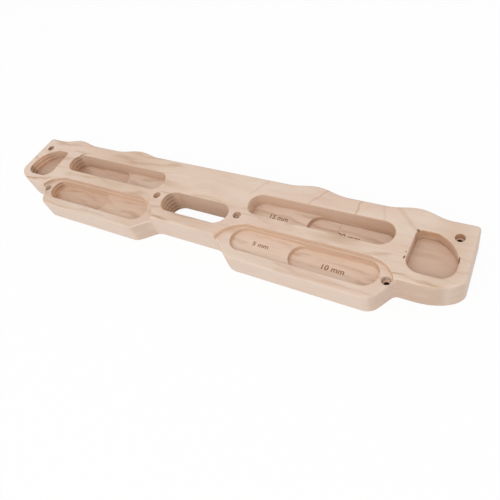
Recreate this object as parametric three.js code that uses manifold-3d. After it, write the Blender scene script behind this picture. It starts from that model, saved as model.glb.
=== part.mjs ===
// A wooden climbing hangboard, milled from one plank of laminated veneers.
// Millimetres. X runs along the board, Y up the wall and Z out of the wall.
// The origin is on the back face, below the middle of the board's outline.
// The plank is shaped whole, as a router shapes it, and then parted into its veneers.

import * as THREE from 'three';
import { mergeVertices } from 'three/addons/utils/BufferGeometryUtils.js';
import Module from 'manifold-3d';

const wasm = await Module();
wasm.setup();

// Along the board, from the middle outwards
const throughSlotHalfLength = 42;
const throughSlotWeb = 14.9;
const fingerSlotLength = 150.2;
const endZone = 67.9;
const shallowZoneLength = 63.1;

// Up the board, from the highest crest down to the lobes
const crestMargin = 24.4;
const upperSlotHeight = 26;
const slotWeb = 14.6;
const lowerSlotHeight = 27.1;
const lobeMargin = 11.3;

// Out of the wall
const backWall = 10;
const upperDeepDepth = 20;
const upperShallowDepth = 15;
const recessDepth = 5;
const lowerDeepDepth = 10;
const lowerShallowDepth = 5;
const pocketDepth = 12.5;
const plyCount = 12;

// Top edge: runs from the middle and from the end, drops from the highest crest
const topFlatHalf = 88;
const innerCrestRise = 29;
const innerCrestFall = 35;
const outerCrestRise = 28.5;
const outerCrestFall = 30.5;
const shoulderRun = 26;
const topFlatDrop = 4;
const dipDrop = 6.1;
const outerCrestDrop = 1.7;
const shoulderDrop = 8.1;

// Ends
const endLean = 2.9;
const endCornerRadius = 4;
const endSweepRun = 39;
const endSweepRise = 20;

// Bottom edge: rises from the lobes' flats
const archFlatHalf = 36.5;
const archBlendRun = 31.5;
const archRise = 17.3;
const lobeEndMargin = 67.3;
const lobeCornerRadius = 15;
const lobeSideAngle = Math.PI / 3;
const tabRise = 22.5;
const tabFilletRadius = 6;

// Through slot
const throughSlotHeight = 26;
const archWeb = 13.7;
const backRimRadius = 4;

// Recessed faces of the lobes
const recessInnerRadius = 29;
const recessOuterRadius = 26;
const recessOuterMargin = 78.6;

// Pockets at the ends
const pocketEndMargin = 10.6;
const pocketWidth = 40.6;
const pocketTopDrop = 25.4;
const pocketHeight = 43.1;
const pocketOuterCornerRadius = 12.4;
const pocketInnerCornerRadius = 13;
const pocketTopCornerRadius = 5;
const pocketShoulderRun = 22.9;
const pocketShoulderDrop = 9.1;

// Screw holes: places from the end, the crest, the lobes and the through slot's end
const screwHoleRadius = 2.5;
const counterboreRadius = 4.25;
const counterboreDepth = 6;
const endScrewMargin = 16.2;
const endScrewDrop = 24.9;
const innerScrewWeb = 10.6;
const innerScrewDrop = 56.6;
const lobeScrewMargin = 60.4;
const lobeScrewRise = 22.1;

// Edges and the joint in the bared veneer
const outerEdgeRadius = 2.5;
const faceRimRadius = 1.5;
const lobeRimRadius = 1;
const seamX = 150;
const cutOverrun = 5;

// Facets
const arcSteps = 4;
const sweepSteps = 6;
const waveSteps = 5;
const roundSteps = 2;
const screwSides = 12;
const coincidence = 1e-4;

// Derived places
const halfLength = throughSlotHalfLength + throughSlotWeb + fingerSlotLength + endZone;
const halfHeight = (crestMargin + upperSlotHeight + slotWeb + lowerSlotHeight + lobeMargin) / 2;
const plankThickness = upperDeepDepth + backWall;
const plyThickness = plankThickness / plyCount;
const recessFloor = plankThickness - recessDepth;
const slotInnerX = throughSlotHalfLength + throughSlotWeb;
const slotOuterX = slotInnerX + fingerSlotLength;
const deepZoneX = slotInnerX + shallowZoneLength;
const upperSlotTop = halfHeight - crestMargin;
const lowerSlotBottom = lobeMargin - halfHeight;
const lowerSlotTop = lowerSlotBottom + lowerSlotHeight;
const archY = archRise - halfHeight;
const tabY = tabRise - halfHeight;

// A pen that collects the points of an outline, anticlockwise seen from the front.
class Pen {
  constructor(x, y) {
    this.points = [new THREE.Vector2(x, y)];
  }

  get last() {
    return this.points[this.points.length - 1];
  }

  add(point) {
    if (this.last.distanceTo(point) > coincidence) this.points.push(point);
    return this;
  }

  lineTo(x, y) {
    return this.add(new THREE.Vector2(x, y));
  }

  // An S-shaped blend, level at both ends.
  waveTo(x, y) {
    const start = this.last.clone();
    for (let i = 1; i <= waveSteps; i++) {
      const share = i / waveSteps;
      const rise = (1 - Math.cos(Math.PI * share)) / 2;
      this.lineTo(THREE.MathUtils.lerp(start.x, x, share), THREE.MathUtils.lerp(start.y, y, rise));
    }
    return this;
  }

  ellipse(centreX, centreY, radiusX, radiusY, from, to, steps) {
    for (let i = 0; i <= steps; i++) {
      const angle = THREE.MathUtils.lerp(from, to, i / steps);
      this.lineTo(centreX + radiusX * Math.cos(angle), centreY + radiusY * Math.sin(angle));
    }
    return this;
  }

  curveTo(controlX, controlY, x, y) {
    const curve = new THREE.QuadraticBezierCurve(
      this.last.clone(), new THREE.Vector2(controlX, controlY), new THREE.Vector2(x, y));
    for (const point of curve.getPoints(sweepSteps)) this.add(point);
    return this;
  }

  // Rounds the corner between the last point, the corner and the next place.
  cornerTo(cornerX, cornerY, radius, nextX, nextY) {
    const corner = new THREE.Vector2(cornerX, cornerY);
    const inward = corner.clone().sub(this.last).normalize();
    const onward = new THREE.Vector2(nextX, nextY).sub(corner).normalize();
    const turn = Math.atan2(inward.cross(onward), inward.dot(onward));
    const side = new THREE.Vector2(-inward.y, inward.x).multiplyScalar(Math.sign(turn));
    const start = corner.clone().addScaledVector(inward, -radius * Math.tan(Math.abs(turn) / 2));
    const centre = start.clone().addScaledVector(side, radius);
    for (let i = 0; i <= arcSteps; i++) {
      this.add(start.clone().rotateAround(centre, turn * i / arcSteps));
    }
    return this;
  }

  closed() {
    const first = this.points[0];
    if (this.points.length > 1 && this.last.distanceTo(first) < coincidence) this.points.pop();
    return this.points;
  }
}

// Points of the right half, from the bottom to the top, joined to their mirror image.
function mirrorHalf(points) {
  const reflected = points.map((point) => new THREE.Vector2(-point.x, point.y)).reverse();
  return [...points, ...reflected];
}

// The same outline on the left side of the board.
function onSide(points, side) {
  if (side > 0) return points;
  return points.map((point) => new THREE.Vector2(-point.x, point.y)).reverse();
}

// Every point moved out along its corner's mitre, or in where the distance is negative.
function offset(points, distance) {
  return points.map((point, i) => {
    const before = points[(i + points.length - 1) % points.length];
    const after = points[(i + 1) % points.length];
    const inward = point.clone().sub(before).normalize();
    const onward = after.clone().sub(point).normalize();
    const mitre = new THREE.Vector2(inward.y + onward.y, -inward.x - onward.x);
    return point.clone().addScaledVector(mitre, distance / (1 + inward.dot(onward)));
  });
}

function makeGeometry(vertices, indices) {
  const geometry = new THREE.BufferGeometry();
  geometry.setAttribute('position', new THREE.Float32BufferAttribute(vertices, 3));
  geometry.setIndex(indices);
  return geometry;
}

// A closed solid through outlines of equal point count, one above the other.
function loft(levels) {
  const count = levels[0].points.length;
  const vertices = levels.flatMap(({ points, z }) => points.flatMap((p) => [p.x, p.y, z]));
  const indices = [];
  for (let level = 0; level < levels.length - 1; level++) {
    for (let i = 0; i < count; i++) {
      const a = level * count + i;
      const b = level * count + (i + 1) % count;
      indices.push(a, b, b + count, a, b + count, a + count);
    }
  }
  const top = (levels.length - 1) * count;
  for (const [a, b, c] of THREE.ShapeUtils.triangulateShape(levels[0].points, [])) indices.push(c, b, a);
  for (const [a, b, c] of THREE.ShapeUtils.triangulateShape(levels[levels.length - 1].points, [])) {
    indices.push(top + a, top + b, top + c);
  }
  return makeGeometry(vertices, indices);
}

function solidFrom(geometry) {
  const bare = geometry.clone();
  bare.deleteAttribute('normal');
  bare.deleteAttribute('uv');
  const merged = mergeVertices(bare);
  return new wasm.Manifold(new wasm.Mesh({
    numProp: 3,
    vertProperties: new Float32Array(merged.attributes.position.array),
    triVerts: new Uint32Array(merged.index.array),
  }));
}

function prism(points, from, to) {
  return solidFrom(loft([{ points, z: from }, { points, z: to }]));
}

// Levels of a quarter round at a rim: the wall widens by the radius as it reaches the face.
function rimLevels(points, face, radius, outOfWall) {
  const levels = [];
  for (let i = 0; i <= roundSteps; i++) {
    const angle = (i / roundSteps) * Math.PI / 2;
    const z = face - outOfWall * radius * (1 - Math.sin(angle));
    levels.push({ points: offset(points, radius * (1 - Math.cos(angle))), z });
  }
  levels.push({ points: levels[roundSteps].points, z: face + outOfWall * cutOverrun });
  return levels;
}

// A cutter that goes down to a floor and rounds the rim it leaves in the face.
function rimmedCutter(points, floor, face, radius) {
  return solidFrom(loft([{ points, z: floor }, ...rimLevels(points, face, radius, 1)]));
}

function slotOutline(fromX, toX, bottom, top) {
  const radius = (top - bottom) / 2;
  const middle = bottom + radius;
  const pen = new Pen(fromX + radius, bottom);
  pen.ellipse(toX - radius, middle, radius, radius, -Math.PI / 2, Math.PI / 2, 2 * arcSteps);
  pen.ellipse(fromX + radius, middle, radius, radius, Math.PI / 2, 1.5 * Math.PI, 2 * arcSteps);
  return pen.closed();
}

function circleOutline(x, y, radius) {
  const pen = new Pen(x + radius, y);
  return pen.ellipse(x, y, radius, radius, 0, 2 * Math.PI, screwSides).closed();
}

function plankOutline() {
  const lobeCornerX = halfLength - lobeEndMargin;
  const tabCornerX = lobeCornerX + tabRise / Math.tan(lobeSideAngle);
  const sweepX = halfLength - endSweepRun;
  const shoulderY = halfHeight - shoulderDrop;
  const shoulderX = halfLength - shoulderRun;
  const outerCrestX = shoulderX - outerCrestFall;
  const innerCrestX = topFlatHalf + innerCrestRise;
  const dipY = halfHeight - dipDrop;
  const pen = new Pen(archFlatHalf, archY);
  pen.waveTo(archFlatHalf + archBlendRun, -halfHeight);
  pen.cornerTo(lobeCornerX, -halfHeight, lobeCornerRadius, tabCornerX, tabY);
  pen.cornerTo(tabCornerX, tabY, tabFilletRadius, sweepX, tabY);
  pen.ellipse(sweepX, tabY + endSweepRise, endSweepRun, endSweepRise, -Math.PI / 2, 0, sweepSteps);
  pen.cornerTo(halfLength - endLean, shoulderY, endCornerRadius, shoulderX, shoulderY);
  pen.lineTo(shoulderX, shoulderY);
  pen.waveTo(outerCrestX, halfHeight - outerCrestDrop);
  pen.waveTo(outerCrestX - outerCrestRise, dipY);
  pen.lineTo(innerCrestX + innerCrestFall, dipY);
  pen.waveTo(innerCrestX, halfHeight);
  pen.waveTo(topFlatHalf, halfHeight - topFlatDrop);
  return mirrorHalf(pen.points);
}

// The recess runs out past the board's bottom edge, so its lower part only clears that edge.
function recessOutline() {
  const innerX = slotInnerX + lowerSlotHeight / 2;
  const outerX = halfLength - recessOuterMargin;
  const innerY = lowerSlotTop - recessInnerRadius;
  const outerY = lowerSlotTop - recessOuterRadius;
  const clearY = -halfHeight - cutOverrun;
  const pen = new Pen(innerX - recessInnerRadius, clearY);
  pen.lineTo(outerX + recessOuterRadius, clearY);
  pen.ellipse(outerX, outerY, recessOuterRadius, recessOuterRadius, 0, Math.PI / 2, sweepSteps);
  pen.ellipse(innerX, innerY, recessInnerRadius, recessInnerRadius, Math.PI / 2, Math.PI, sweepSteps);
  return pen.closed();
}

function pocketOutline() {
  const outerX = halfLength - pocketEndMargin;
  const innerX = outerX - pocketWidth;
  const top = halfHeight - pocketTopDrop;
  const bottom = top - pocketHeight;
  const pen = new Pen(innerX + pocketInnerCornerRadius, bottom);
  pen.cornerTo(outerX, bottom, pocketOuterCornerRadius, outerX, top);
  pen.curveTo(outerX, top - pocketShoulderDrop, outerX - pocketShoulderRun, top);
  pen.cornerTo(innerX, top, pocketTopCornerRadius, innerX, bottom);
  pen.cornerTo(innerX, bottom, pocketInnerCornerRadius, outerX, bottom);
  return pen.closed();
}

// The board's whole outline up to a face, with its front and back edges rounded alike.
function blank(face) {
  const outline = plankOutline();
  const front = [];
  const back = [];
  for (let i = 0; i <= roundSteps; i++) {
    const angle = (i / roundSteps) * Math.PI / 2;
    const points = offset(outline, -outerEdgeRadius * (1 - Math.cos(angle)));
    const rise = outerEdgeRadius * (1 - Math.sin(angle));
    front.push({ points, z: face - rise });
    back.unshift({ points, z: rise });
  }
  return solidFrom(loft([...back, ...front]));
}

// Takes a lobe down to its recessed face, and rounds the edge that the face then has.
function recessCutter(side) {
  const outline = onSide(recessOutline(), side);
  const cut = rimmedCutter(outline, recessFloor - outerEdgeRadius, plankThickness, faceRimRadius);
  return cut.subtract(blank(recessFloor));
}

function upperSlotCutter(side) {
  const bottom = upperSlotTop - upperSlotHeight;
  const whole = onSide(slotOutline(slotInnerX, slotOuterX, bottom, upperSlotTop), side);
  const deep = onSide(slotOutline(deepZoneX, slotOuterX, bottom, upperSlotTop), side);
  const shallowFloor = plankThickness - upperShallowDepth;
  const shallowCut = rimmedCutter(whole, shallowFloor, plankThickness, faceRimRadius);
  return shallowCut.add(prism(deep, plankThickness - upperDeepDepth, plankThickness));
}

// The slot's upper wall runs on into the recess's wall, so its rounded rim ends there.
function lowerSlotCutter(side) {
  const whole = onSide(slotOutline(slotInnerX, slotOuterX, lowerSlotBottom, lowerSlotTop), side);
  const deep = onSide(slotOutline(deepZoneX, slotOuterX, lowerSlotBottom, lowerSlotTop), side);
  const recess = prism(onSide(recessOutline(), side), 0, plankThickness);
  const shallowFloor = recessFloor - lowerShallowDepth;
  const shallowCut = rimmedCutter(whole, shallowFloor, recessFloor, lobeRimRadius).intersect(recess);
  return shallowCut.add(prism(deep, recessFloor - lowerDeepDepth, plankThickness));
}

function throughSlotCutter() {
  const bottom = archY + archWeb;
  const outline = slotOutline(
    -throughSlotHalfLength, throughSlotHalfLength, bottom, bottom + throughSlotHeight);
  const backLevels = rimLevels(outline, 0, backRimRadius, -1).reverse();
  const frontLevels = rimLevels(outline, plankThickness, faceRimRadius, 1);
  return solidFrom(loft([...backLevels, ...frontLevels]));
}

function screwHoleCutter(x, y, face) {
  const seat = face - counterboreDepth;
  const shank = prism(circleOutline(x, y, screwHoleRadius), -cutOverrun, face);
  return shank.add(prism(circleOutline(x, y, counterboreRadius), seat, plankThickness + cutOverrun));
}

function shapedPlank() {
  const pocketFloor = plankThickness - pocketDepth;
  let plank = blank(plankThickness).subtract(throughSlotCutter());
  for (const side of [1, -1]) {
    plank = plank.subtract(recessCutter(side));
    plank = plank.subtract(upperSlotCutter(side));
    plank = plank.subtract(lowerSlotCutter(side));
    const pocket = onSide(pocketOutline(), side);
    plank = plank.subtract(rimmedCutter(pocket, pocketFloor, plankThickness, faceRimRadius));
    const endScrewX = side * (halfLength - endScrewMargin);
    const innerScrewX = side * (throughSlotHalfLength + innerScrewWeb);
    const lobeScrewX = side * (halfLength - lobeScrewMargin);
    plank = plank.subtract(screwHoleCutter(endScrewX, halfHeight - endScrewDrop, plankThickness));
    plank = plank.subtract(screwHoleCutter(innerScrewX, halfHeight - innerScrewDrop, plankThickness));
    plank = plank.subtract(screwHoleCutter(lobeScrewX, lobeScrewRise - halfHeight, recessFloor));
  }
  return plank;
}

// A block wider than the plank, from one side to the other and from one glue line to the next.
function block(fromX, toX, fromZ, toZ) {
  const reach = halfHeight + cutOverrun;
  const outline = [
    new THREE.Vector2(fromX, -reach),
    new THREE.Vector2(toX, -reach),
    new THREE.Vector2(toX, reach),
    new THREE.Vector2(fromX, reach),
  ];
  return prism(outline, fromZ, toZ);
}

function plyName(number) {
  if (number === 1) return 'back_veneer';
  if (number === plyCount) return 'face_veneer';
  return `core_ply_${String(number).padStart(2, '0')}`;
}

// Veneers with their grain along the board alternate with veneers that run across it.
const longGrain = { color: 0xe2c7a9, roughness: 0.62, metalness: 0 };
const crossGrain = { color: 0xb58a68, roughness: 0.7, metalness: 0 };

function meshFrom(solid, name, look) {
  const { vertProperties, triVerts } = solid.getMesh();
  const geometry = makeGeometry(Array.from(vertProperties), Array.from(triVerts));
  geometry.computeVertexNormals();
  const mesh = new THREE.Mesh(geometry, new THREE.MeshStandardMaterial(look));
  mesh.name = name;
  return mesh;
}

const hangboard = new THREE.Group();
hangboard.name = 'hangboard';
const plank = shapedPlank();
const reachX = halfLength + cutOverrun;
const baredPly = Math.round(backWall / plyThickness);
for (let number = 1; number <= plyCount; number++) {
  const bottom = (number - 1) * plyThickness;
  const top = number * plyThickness;
  const look = (plyCount - number) % 2 === 0 ? longGrain : crossGrain;
  const name = plyName(number);
  if (number === baredPly) {
    const left = plank.intersect(block(-reachX, seamX, bottom, top));
    const right = plank.intersect(block(seamX, reachX, bottom, top));
    hangboard.add(meshFrom(left, `${name}_left`, look), meshFrom(right, `${name}_right`, look));
  } else {
    hangboard.add(meshFrom(plank.intersect(block(-reachX, reachX, bottom, top)), name, look));
  }
}

export default hangboard;
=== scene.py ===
"""A laminated wooden climbing hangboard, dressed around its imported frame.

Shapes are drawn in millimetres, as on a workshop drawing, and their meshes are scaled to metres at the end.
X runs along the board, Y up the wall and Z out of the wall, as in the frame.
"""

import logging
import math
from dataclasses import dataclass, field, replace
from enum import Enum
from typing import Callable, Sequence, Union

import bmesh
import bpy
from mathutils import Matrix, Vector


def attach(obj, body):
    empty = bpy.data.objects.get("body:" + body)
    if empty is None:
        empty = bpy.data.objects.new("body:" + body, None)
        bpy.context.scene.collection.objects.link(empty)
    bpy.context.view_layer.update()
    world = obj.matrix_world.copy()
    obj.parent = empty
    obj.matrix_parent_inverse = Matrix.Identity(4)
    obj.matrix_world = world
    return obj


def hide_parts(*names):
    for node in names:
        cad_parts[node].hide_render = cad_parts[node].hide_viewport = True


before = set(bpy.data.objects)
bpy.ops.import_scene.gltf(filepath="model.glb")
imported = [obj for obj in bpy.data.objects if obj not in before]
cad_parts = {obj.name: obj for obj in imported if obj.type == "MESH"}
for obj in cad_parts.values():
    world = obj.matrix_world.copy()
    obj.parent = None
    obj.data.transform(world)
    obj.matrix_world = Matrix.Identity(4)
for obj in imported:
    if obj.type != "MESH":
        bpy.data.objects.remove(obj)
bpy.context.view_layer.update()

LOG = logging.getLogger("hangboard")
MILLIMETRE = 0.001
COINCIDENCE = 1e-4
OVERRUN = 5.0

Pair = tuple[float, float]
Outline = list[Vector]
Level = tuple[Outline, float]
Solid = bpy.types.Object
Socket = bpy.types.NodeSocket
Colour = tuple[float, float, float]
WHITE = (1.0, 1.0, 1.0)


class Cut(Enum):
    """What a tool does to the piece it meets."""

    REMOVE = "DIFFERENCE"
    KEEP = "INTERSECT"


class Grain(Enum):
    """Which way a sheet's fibres run."""

    ALONG = "long_grain_veneer"
    ACROSS = "cross_grain_veneer"


def srgb(red: int, green: int, blue: int) -> Colour:
    """Turns a colour as written on screen into the linear values that shaders take.

    Args:
        red: Red from 0 to 255.
        green: Green from 0 to 255.
        blue: Blue from 0 to 255.

    Returns:
        The linear colour.
    """
    def linear(level: int) -> float:
        """Returns one channel's linear value."""
        share = level / 255
        return share / 12.92 if share <= 0.04045 else ((share + 0.055) / 1.055) ** 2.4

    return linear(red), linear(green), linear(blue)


@dataclass(frozen=True)
class Steps:
    """How finely curves are stepped.

    Attributes:
        arc: Steps in a rounded corner or a quarter turn.
        sweep: Steps in a long sweep.
        wave: Steps in an S-shaped blend.
        rounding: Steps across a rounded edge.
        bore: Sides of a drilled hole.
    """

    arc: int = 14
    sweep: int = 22
    wave: int = 22
    rounding: int = 6
    bore: int = 40


STEPS = Steps()


class Pen:
    """Collects the points of an outline, anticlockwise seen from the front."""

    def __init__(self, x: float, y: float) -> None:
        """Starts the outline at a place."""
        self.points: Outline = [Vector((x, y))]

    def add(self, point: Vector) -> "Pen":
        """Adds a point, unless the pen is already there."""
        if (self.points[-1] - point).length > COINCIDENCE:
            self.points.append(point)
        return self

    def line_to(self, x: float, y: float) -> "Pen":
        """Draws a straight line."""
        return self.add(Vector((x, y)))

    def wave_to(self, x: float, y: float) -> "Pen":
        """Draws an S-shaped blend that is level at both ends.

        Args:
            x: Where the blend ends, along the board.
            y: Where the blend ends, up the board.

        Returns:
            The pen.
        """
        start = self.points[-1].copy()
        for i in range(1, STEPS.wave + 1):
            share = i / STEPS.wave
            rise = (1 - math.cos(math.pi * share)) / 2
            self.line_to(start.x + (x - start.x) * share, start.y + (y - start.y) * rise)
        return self

    def ellipse(self, centre: Vector, radii: Pair, turn: Pair, steps: int) -> "Pen":
        """Draws part of an ellipse.

        Args:
            centre: Its centre.
            radii: Its half widths along the board and up it.
            turn: The first and the last angle, in radians.
            steps: How many steps it takes.

        Returns:
            The pen.
        """
        for i in range(steps + 1):
            angle = turn[0] + (turn[1] - turn[0]) * i / steps
            self.line_to(centre.x + radii[0] * math.cos(angle), centre.y + radii[1] * math.sin(angle))
        return self

    def curve_to(self, control: Vector, end: Vector) -> "Pen":
        """Draws a parabola that leaves towards the control point and arrives from it.

        Args:
            control: Where the two end tangents meet.
            end: Where the curve ends.

        Returns:
            The pen.
        """
        start = self.points[-1].copy()
        for i in range(1, STEPS.sweep + 1):
            share = i / STEPS.sweep
            near = start.lerp(control, share)
            self.add(near.lerp(control.lerp(end, share), share))
        return self

    def corner_to(self, corner: Vector, radius: float, onward: Vector) -> "Pen":
        """Rounds the corner between the last point, the corner and the next place.

        Args:
            corner: The sharp corner.
            radius: The rounding's radius.
            onward: A point on the line that leaves the corner.

        Returns:
            The pen.
        """
        inward = (corner - self.points[-1]).normalized()
        outward = (onward - corner).normalized()
        turn = math.atan2(inward.x * outward.y - inward.y * outward.x, inward.dot(outward))
        side = Vector((-inward.y, inward.x)) * math.copysign(1, turn)
        start = corner - inward * radius * math.tan(abs(turn) / 2)
        centre = start + side * radius
        for i in range(STEPS.arc + 1):
            self.add(centre + Matrix.Rotation(turn * i / STEPS.arc, 2) @ (start - centre))
        return self

    def closed(self) -> Outline:
        """Returns the outline without a repeated last point."""
        if (self.points[-1] - self.points[0]).length < COINCIDENCE:
            self.points.pop()
        return self.points


def on_side(points: Outline, side: int) -> Outline:
    """Returns the outline for the right half, or its mirror image for the left."""
    return points if side > 0 else [Vector((-p.x, p.y)) for p in reversed(points)]


def offset(points: Outline, distance: float) -> Outline:
    """Moves every point out along its corner's mitre.

    Args:
        points: The outline.
        distance: How far out, or in where it is negative.

    Returns:
        The moved outline.
    """
    moved = []
    for i, point in enumerate(points):
        inward = (point - points[i - 1]).normalized()
        onward = (points[(i + 1) % len(points)] - point).normalized()
        mitre = Vector((inward.y + onward.y, -inward.x - onward.x))
        moved.append(point + mitre * (distance / (1 + inward.dot(onward))))
    return moved


def slot_outline(start: float, end: float, bottom: float, top: float) -> Outline:
    """Draws a slot with half-round ends.

    Args:
        start: Its left end.
        end: Its right end.
        bottom: Its lower side.
        top: Its upper side.

    Returns:
        The outline.
    """
    radius = (top - bottom) / 2
    middle = bottom + radius
    pen = Pen(start + radius, bottom)
    quarter = math.pi / 2
    pen.ellipse(Vector((end - radius, middle)), (radius, radius), (-quarter, quarter), 2 * STEPS.arc)
    pen.ellipse(Vector((start + radius, middle)), (radius, radius), (quarter, 3 * quarter), 2 * STEPS.arc)
    return pen.closed()


def circle_outline(centre: Vector, radius: float) -> Outline:
    """Returns a drilled hole's outline."""
    pen = Pen(centre.x + radius, centre.y)
    return pen.ellipse(centre, (radius, radius), (0.0, 2 * math.pi), STEPS.bore).closed()


def placed(name: str, data: bpy.types.ID) -> Solid:
    """Puts some data in the scene.

    Args:
        name: The object's name.
        data: The mesh, curve, camera or lamp.

    Returns:
        The object.
    """
    made = bpy.data.objects.new(name, data)
    bpy.context.collection.objects.link(made)
    return made


def solid(name: str, shape: bmesh.types.BMesh) -> Solid:
    """Turns a drawn shape into an object.

    Args:
        name: The object's name.
        shape: The shape, which is freed.

    Returns:
        The object.
    """
    mesh = bpy.data.meshes.new(name)
    shape.to_mesh(mesh)
    shape.free()
    return placed(name, mesh)


def loft(name: str, levels: Sequence[Level]) -> Solid:
    """Makes a closed solid through outlines of equal point count.

    Args:
        name: The solid's name.
        levels: Each outline with its height, from the lowest up.

    Returns:
        The solid, in millimetres.
    """
    shape = bmesh.new()
    rings = [[shape.verts.new((p.x, p.y, z)) for p in points] for points, z in levels]
    count = len(rings[0])
    for lower, upper in zip(rings, rings[1:]):
        for i in range(count):
            after = (i + 1) % count
            shape.faces.new((lower[i], lower[after], upper[after], upper[i]))
    shape.faces.new(list(reversed(rings[0])))
    shape.faces.new(rings[-1])
    return solid(name, shape)


def prism(name: str, points: Outline, low: float, high: float) -> Solid:
    """Makes a straight-sided solid between two heights."""
    return loft(name, [(points, low), (points, high)])


def quarter_round(points: Outline, reach: float) -> list[Level]:
    """Widens or narrows an outline by a quarter round.

    Args:
        points: The outline.
        reach: The rounding's radius, negative where the outline gets narrower.

    Returns:
        Each outline, with how far below the end of the rounding it is.
    """
    levels = []
    for i in range(STEPS.rounding + 1):
        angle = i / STEPS.rounding * math.pi / 2
        levels.append((offset(points, reach * (1 - math.cos(angle))), abs(reach) * (1 - math.sin(angle))))
    return levels


def rim_levels(points: Outline, face: float, radius: float, outwards: int) -> list[Level]:
    """Widens a wall by a quarter round as it reaches a face, and runs it out past the face.

    Args:
        points: The wall's outline.
        face: The face's height.
        radius: The rounding's radius.
        outwards: 1 where the face looks up, and -1 where it looks down.

    Returns:
        The levels, from inside the wall to past the face.
    """
    levels = [(widened, face - outwards * drop) for widened, drop in quarter_round(points, radius)]
    return [*levels, (levels[-1][0], face + outwards * OVERRUN)]


def rimmed_cutter(name: str, points: Outline, floor: float, face: float, radius: float) -> Solid:
    """Makes a cutter that goes down to a floor and rounds the rim it leaves in a face."""
    return loft(name, [(points, floor), *rim_levels(points, face, radius, 1)])


def work(piece: Solid, tools: Sequence[Solid], cut: Cut) -> Solid:
    """Cuts a piece with tools, and scraps the tools.

    Args:
        piece: The solid that is worked.
        tools: The solids that it meets, in order.
        cut: What the tools do to it.

    Returns:
        The piece, with its new mesh.
    """
    for tool in tools:
        step = piece.modifiers.new(tool.name, "BOOLEAN")
        step.solver = "MANIFOLD"
        step.operation = cut.value
        step.object = tool
    depsgraph = bpy.context.evaluated_depsgraph_get()
    mesh = bpy.data.meshes.new_from_object(piece.evaluated_get(depsgraph))
    piece.modifiers.clear()
    piece.data = mesh
    for tool in tools:
        bpy.data.objects.remove(tool)
    return piece


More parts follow.
